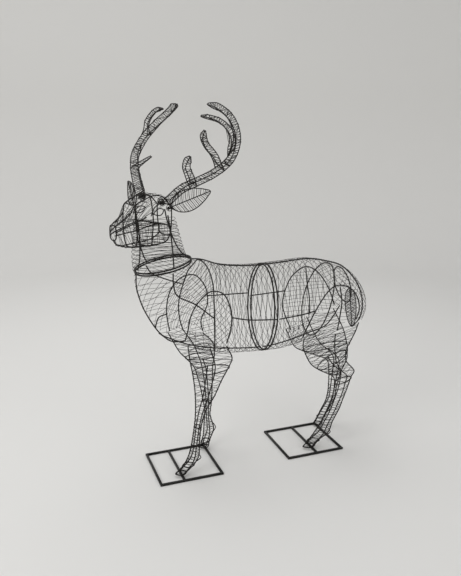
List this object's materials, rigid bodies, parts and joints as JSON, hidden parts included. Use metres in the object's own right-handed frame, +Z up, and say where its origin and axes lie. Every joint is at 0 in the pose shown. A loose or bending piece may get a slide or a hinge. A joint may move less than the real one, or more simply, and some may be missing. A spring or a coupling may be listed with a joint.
{
  "type": "wire animal sculpture",
  "caption": "Life-size standing stag of welded steel rod, its head turned to the left, with open wire body and branched antlers, on two square base frames.",
  "frame": {"origin": "centre of the bounding box's underside, on the surface that the base frames stand on", "axes": "+Z up; the stag faces -X and its left flank faces -Y"},
  "size_m": [1.2716, 0.5226, 1.6658],
  "materials": {
    "frame_rod": "dark brown-black coated round steel rod, satin, with small weld beads",
    "base_bar": "dark brown-black coated square steel bar, satin",
    "lacing_wire": "thin dark annealed steel wire, wound and knotted, dull satin"
  },
  "bodies": {
    "root": {"front_base_frame": "base_bar", "rear_base_frame": "base_bar", "collar_ring": "frame_rod", "neck_ring": "frame_rod", "mid_hoop_front": "frame_rod", "mid_hoop_rear": "frame_rod", "shoulder_hoop": "frame_rod", "pelvis_hoop": "frame_rod", "rump_ring": "frame_rod", "spine_rod_front": "frame_rod", "spine_rod_rear": "frame_rod", "breast_rod": "frame_rod", "belly_rod": "frame_rod", "shoulder_arch_left": "frame_rod", "haunch_arch_left": "frame_rod", "shoulder_arch_right": "frame_rod", "haunch_arch_right": "frame_rod", "side_rod_front_left": "frame_rod", "side_rod_rear_left": "frame_rod", "side_rod_front_right": "frame_rod", "side_rod_rear_right": "frame_rod", "shoulder_rod_left": "frame_rod", "brisket_rod_left": "frame_rod", "shoulder_rod_right": "frame_rod", "brisket_rod_right": "frame_rod", "front_leg_left": "frame_rod", "front_leg_right": "frame_rod", "hind_leg_left": "frame_rod", "hind_leg_right": "frame_rod", "haunch_rod_left": "frame_rod", "haunch_rod_right": "frame_rod", "throat_rod": "frame_rod", "nape_rod": "frame_rod", "neck_rod_left": "frame_rod", "neck_rod_right": "frame_rod", "head_frame": "frame_rod", "eye_left": "frame_rod", "eye_right": "frame_rod", "antler_left": "frame_rod", "antler_right": "frame_rod", "ear_left": "frame_rod", "ear_right": "frame_rod", "tail": "frame_rod"}
  },
  "joints": []
}
